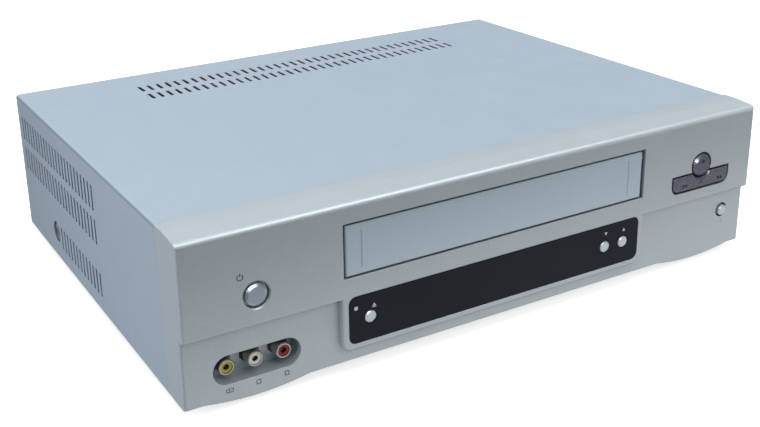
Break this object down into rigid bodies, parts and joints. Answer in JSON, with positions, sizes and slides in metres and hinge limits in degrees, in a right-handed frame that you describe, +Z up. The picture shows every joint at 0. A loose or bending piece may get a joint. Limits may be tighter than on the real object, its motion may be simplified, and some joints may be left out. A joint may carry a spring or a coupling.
{
  "type": "vhs video cassette recorder",
  "caption": "Front-loading VHS video cassette recorder with a flap door, smoked display window, front sockets, push keys and a working tape deck inside.",
  "frame": {"origin": "on the floor under the middle of the recorder", "axes": "+X to the right of somebody facing it, +Y from the front panel to the back, +Z up"},
  "size_m": [0.36, 0.2774, 0.0915],
  "materials": {
    "silver_sheet": "satin silver paint",
    "silver_plastic": "satin silver paint on plastic",
    "door_plastic": "satin silver paint on plastic",
    "window_plastic": "polished smoked acrylic",
    "dark_key": "satin dark grey",
    "silver_key": "satin silver",
    "black_plastic": "moulded black",
    "yellow_plastic": "moulded",
    "white_plastic": "moulded",
    "red_plastic": "moulded",
    "bright_steel": "plated",
    "zinc_steel": "zinc plated",
    "machined_metal": "turned",
    "rubber": "moulded",
    "board": "phenolic board",
    "deck_plastic": "natural acetal",
    "magnet": "ferrite",
    "display_glass": "clear"
  },
  "bodies": {
    "case": {"top_cover": "silver_sheet", "cover_screws": "zinc_steel", "front_panel": "silver_plastic", "display_window": "window_plastic", "front_socket_bodies": "black_plastic", "front_socket_shells": "bright_steel", "video_socket_insert": "yellow_plastic", "left_socket_insert": "white_plastic", "right_socket_insert": "red_plastic", "chassis_pan": "zinc_steel", "feet": "rubber", "rear_panel": "zinc_steel", "main_board": "board", "board_standoffs": "black_plastic", "control_board": "board", "tact_switches": "black_plastic", "display_tube": "display_glass", "transformer": "magnet", "heatsink": "machined_metal", "capacitors": "black_plastic", "tuner": "zinc_steel", "scart_sockets": "black_plastic", "rear_socket_bodies": "black_plastic", "rear_socket_shells": "bright_steel", "mains_inlet": "black_plastic", "deck_plate": "zinc_steel", "deck_pins": "bright_steel", "left_bracket": "zinc_steel", "right_bracket": "zinc_steel", "top_brace": "zinc_steel", "lower_drum": "machined_metal", "capstan_holder": "machined_metal", "capstan_belt": "rubber", "audio_head": "zinc_steel", "erase_head": "zinc_steel", "loading_block": "black_plastic"},
    "cassette_door": {"cassette_door": "door_plastic"},
    "power_button": {"power_button": "silver_key"},
    "stop_eject_button": {"stop_eject_button": "silver_key"},
    "channel_down_button": {"channel_down_button": "silver_key"},
    "channel_up_button": {"channel_up_button": "silver_key"},
    "play_button": {"play_button": "dark_key"},
    "search_rocker": {"search_rocker": "dark_key"},
    "record_button": {"record_button": "silver_key"},
    "carriage": {"cassette_holder": "zinc_steel", "carriage_slider": "deck_plastic"},
    "carriage_gear": {"carriage_gear": "deck_plastic"},
    "upper_drum": {"upper_drum": "machined_metal"},
    "supply_reel": {"supply_reel": "deck_plastic"},
    "takeup_reel": {"takeup_reel": "deck_plastic"},
    "clutch": {"clutch_pulley": "deck_plastic"},
    "idler_arm": {"idler_arm": "zinc_steel"},
    "idler_wheel": {"idler_wheel": "rubber"},
    "capstan": {"capstan_flywheel": "machined_metal"},
    "pinch_arm": {"pinch_arm": "zinc_steel"},
    "pinch_roller": {"pinch_roller": "rubber"},
    "supply_guide": {"supply_guide": "machined_metal"},
    "takeup_guide": {"takeup_guide": "machined_metal"},
    "cam_gear": {"cam_gear": "deck_plastic"},
    "tension_arm": {"tension_arm": "zinc_steel"}
  },
  "joints": [
    {"name": "door_hinge", "type": "hinge", "parent": "case", "child": "cassette_door", "pos_m": [0, -0.1323, 0.0815], "axis": [1, 0, 0], "range_deg": [0, 85], "stiffness_Nm_per_rad": 0.004, "springref_deg": -20.05},
    {"name": "power_button_press", "type": "slide", "parent": "case", "child": "power_button", "axis": [0, 1, 0], "range_m": [0, 0.001], "stiffness_N_per_m": 400, "springref_m": -0.0005},
    {"name": "stop_eject_button_press", "type": "slide", "parent": "case", "child": "stop_eject_button", "axis": [0, 1, 0], "range_m": [0, 0.001], "stiffness_N_per_m": 400, "springref_m": -0.0005},
    {"name": "channel_down_button_press", "type": "slide", "parent": "case", "child": "channel_down_button", "axis": [0, 1, 0], "range_m": [0, 0.001], "stiffness_N_per_m": 400, "springref_m": -0.0005},
    {"name": "channel_up_button_press", "type": "slide", "parent": "case", "child": "channel_up_button", "axis": [0, 1, 0], "range_m": [0, 0.001], "stiffness_N_per_m": 400, "springref_m": -0.0005},
    {"name": "play_button_press", "type": "slide", "parent": "case", "child": "play_button", "axis": [0, 1, 0], "range_m": [0, 0.001], "stiffness_N_per_m": 400, "springref_m": -0.0005},
    {"name": "record_button_press", "type": "slide", "parent": "case", "child": "record_button", "axis": [0, 1, 0], "range_m": [0, 0.001], "stiffness_N_per_m": 400, "springref_m": -0.0005},
    {"name": "search_rock", "type": "hinge", "parent": "case", "child": "search_rocker", "pos_m": [0.14, -0.1311, 0.0485], "axis": [0, 0, 1], "range_deg": [-2.5, 2.5], "stiffness_Nm_per_rad": 0.05},
    {"name": "carriage_slide", "type": "slide", "parent": "case", "child": "carriage", "axis": [0, 1, 0], "range_m": [0, 0.058]},
    {"name": "carriage_gear_turn", "type": "hinge", "parent": "case", "child": "carriage_gear", "pos_m": [0.097, -0.0413, 0.047], "axis": [1, 0, 0], "range_deg": [-370, 1]},
    {"name": "drum_spin", "type": "hinge", "parent": "case", "child": "upper_drum", "pos_m": [-0.002, 0.0407, 0.03], "axis": [-0.0872, 0, 0.9962], "continuous": true},
    {"name": "supply_reel_spin", "type": "hinge", "parent": "case", "child": "supply_reel", "pos_m": [-0.045, -0.0573, 0.0265], "axis": [0, 0, 1], "continuous": true},
    {"name": "takeup_reel_spin", "type": "hinge", "parent": "case", "child": "takeup_reel", "pos_m": [0.045, -0.0573, 0.0265], "axis": [0, 0, 1], "continuous": true},
    {"name": "capstan_spin", "type": "hinge", "parent": "case", "child": "capstan", "pos_m": [0.064, 0.0087, 0.0265], "axis": [0, 0, 1], "continuous": true},
    {"name": "clutch_spin", "type": "hinge", "parent": "case", "child": "clutch", "pos_m": [0, -0.0405, 0.0265], "axis": [0, 0, 1], "continuous": true},
    {"name": "idler_swing", "type": "hinge", "parent": "case", "child": "idler_arm", "pos_m": [0, -0.0405, 0.0265], "axis": [0, 0, 1], "range_deg": [-60, 60]},
    {"name": "idler_spin", "type": "hinge", "parent": "idler_arm", "child": "idler_wheel", "pos_m": [0, -0.0573, 0.0265], "axis": [0, 0, 1], "continuous": true},
    {"name": "pinch_swing", "type": "hinge", "parent": "case", "child": "pinch_arm", "pos_m": [0.086, 0.0267, 0.0265], "axis": [0, 0, 1], "range_deg": [-28, 0]},
    {"name": "pinch_spin", "type": "hinge", "parent": "pinch_arm", "child": "pinch_roller", "pos_m": [0.08158, 0.00515, 0.0265], "axis": [0, 0, 1], "continuous": true},
    {"name": "cam_turn", "type": "hinge", "parent": "case", "child": "cam_gear", "pos_m": [-0.062, 0.0447, 0.0265], "axis": [0, 0, 1], "range_deg": [0, 155]},
    {"name": "takeup_thread", "type": "hinge", "parent": "case", "child": "takeup_guide", "pos_m": [-0.014, 0.0347, 0.0265], "axis": [0, 0, 1], "range_deg": [0, 62]},
    {"name": "supply_thread", "type": "hinge", "parent": "case", "child": "supply_guide", "pos_m": [0.01, 0.0347, 0.0265], "axis": [0, 0, 1], "range_deg": [-62, 0]},
    {"name": "tension_swing", "type": "hinge", "parent": "case", "child": "tension_arm", "pos_m": [-0.086, 0.0027, 0.0265], "axis": [0, 0, 1], "range_deg": [0, 12], "stiffness_Nm_per_rad": 0.01, "springref_deg": -11.46}
  ],
  "couplings": [
    {"joint": "carriage_gear_turn", "follows": "carriage_slide", "rad_per_m": -111.11},
    {"joint": "clutch_spin", "follows": "capstan_spin", "ratio": 0.38889},
    {"joint": "idler_spin", "follows": "capstan_spin", "ratio": -0.46667},
    {"joint": "takeup_thread", "follows": "cam_turn", "ratio": 0.4},
    {"joint": "supply_thread", "follows": "cam_turn", "ratio": -0.4}
  ]
}
